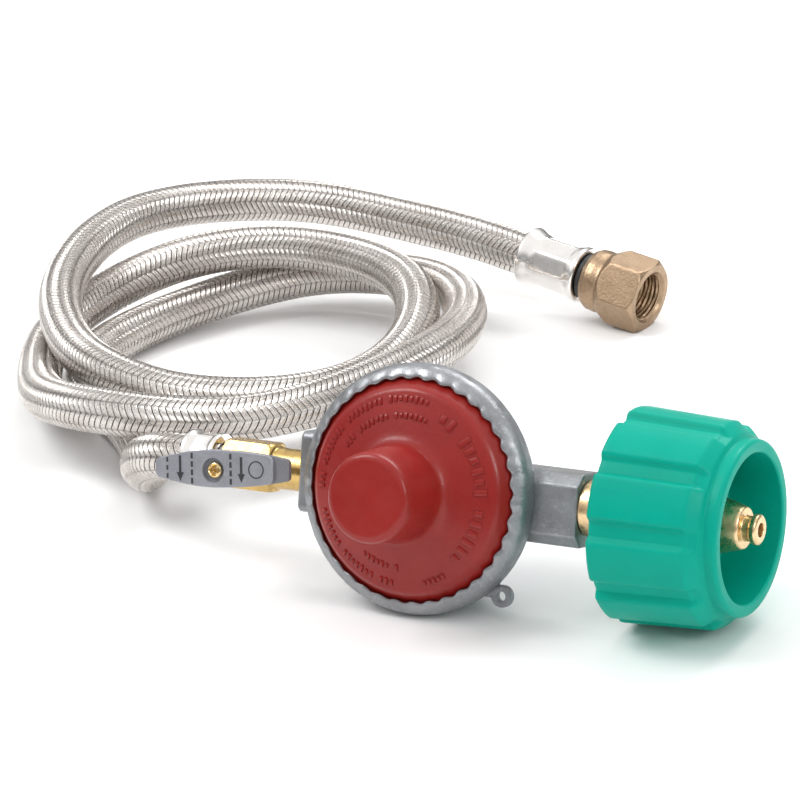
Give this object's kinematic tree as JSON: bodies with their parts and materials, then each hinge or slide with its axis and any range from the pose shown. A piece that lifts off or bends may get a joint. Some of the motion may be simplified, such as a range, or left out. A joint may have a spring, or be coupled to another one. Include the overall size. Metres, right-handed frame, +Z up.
{
  "type": "propane regulator hose",
  "caption": "Low-pressure gas regulator with a ribbed hand-tightened inlet nut and a lever valve, on a coiled braided hose that ends in a swivel flare nut.",
  "frame": {"origin": "middle of the box around the regulator and its valve, on the surface it lies on; the free hose and its far fitting are left out of that box", "axes": "+X along the inlet, from the valve towards the ribbed nut; +Z up; the bonnet faces -Y, tipped up by 17.7 degrees"},
  "size_m": [0.3208, 0.2686, 0.0708],
  "materials": {
    "zinc_casting": "grey die-cast zinc, lightly blasted",
    "red_paint": "satin red paint on pressed steel",
    "black_rubber": "matt",
    "bright_steel": "bright zinc plated steel",
    "plain_steel": "drawn steel",
    "brass": "machined brass",
    "green_plastic": "moulded, semi-gloss",
    "black_nylon": "moulded nylon",
    "steel_braid": "woven stainless wire"
  },
  "bodies": {
    "regulator": {"body_casting": "zinc_casting", "bonnet": "red_paint", "diaphragm": "black_rubber", "main_spring": "plain_steel", "lever_pin": "plain_steel", "orifice": "brass", "inlet_nipple": "brass", "plunger_spring": "plain_steel", "retaining_ring": "plain_steel", "valve_body": "brass", "seat_ring_inner": "black_nylon", "seat_ring_outer": "black_nylon", "valve_end_stem": "plain_steel", "valve_end_ferrule": "bright_steel", "hose_tube": "steel_braid", "far_end_stem": "brass", "far_end_ferrule": "bright_steel", "spacer_ring": "black_nylon"},
    "diaphragm_stack": {"diaphragm_plate": "plain_steel"},
    "crank": {"internal_lever": "plain_steel"},
    "seat": {"seat_holder": "brass", "seat_disc": "black_rubber"},
    "plunger": {"excess_flow_plunger": "brass"},
    "bush": {"thermal_bush": "black_nylon"},
    "handwheel": {"handwheel_nut": "green_plastic"},
    "lever": {"lever_handle": "zinc_casting", "valve_stem": "plain_steel", "valve_ball": "plain_steel", "lever_screw": "brass"},
    "swivel_nut": {"flare_nut": "brass"}
  },
  "joints": [
    {"name": "valve_lever_turn", "type": "hinge", "parent": "regulator", "child": "lever", "pos_m": [-0.0731, 0.00595, 0.03221], "axis": [0, -0.9527, 0.304], "range_deg": [-5, 85]},
    {"name": "handwheel_slide", "type": "slide", "parent": "regulator", "child": "bush", "axis": [1, 0, 0], "range_m": [-0.008, 0]},
    {"name": "handwheel_turn", "type": "hinge", "parent": "bush", "child": "handwheel", "pos_m": [0.0649, 0.00595, 0.03221], "axis": [1, 0, 0], "continuous": true},
    {"name": "flare_nut_turn", "type": "hinge", "parent": "regulator", "child": "swivel_nut", "pos_m": [-0.05089, 0.21429, 0.01325], "axis": [0.978, -0.124, -0.168], "continuous": true},
    {"name": "plunger_slide", "type": "slide", "parent": "regulator", "child": "plunger", "axis": [1, 0, 0], "range_m": [-0.0015, 0], "stiffness_N_per_m": 120, "deforming": ["plunger_spring"]},
    {"name": "diaphragm_slide", "type": "slide", "parent": "regulator", "child": "diaphragm_stack", "axis": [0, -0.9527, 0.304], "range_m": [-0.0006, 0], "stiffness_N_per_m": 900, "deforming": ["diaphragm", "main_spring"]},
    {"name": "crank_turn", "type": "hinge", "parent": "regulator", "child": "crank", "pos_m": [0.0034, 0.01129, 0.0305], "axis": [0, 0.304, 0.9527], "range_deg": [-5, 5]},
    {"name": "seat_slide", "type": "slide", "parent": "regulator", "child": "seat", "axis": [1, 0, 0], "range_m": [-0.001, 0.001]}
  ],
  "couplings": [
    {"joint": "crank_turn", "follows": "diaphragm_slide", "rad_per_m": 69.141},
    {"joint": "seat_slide", "follows": "diaphragm_slide", "ratio": 0.37252}
  ]
}
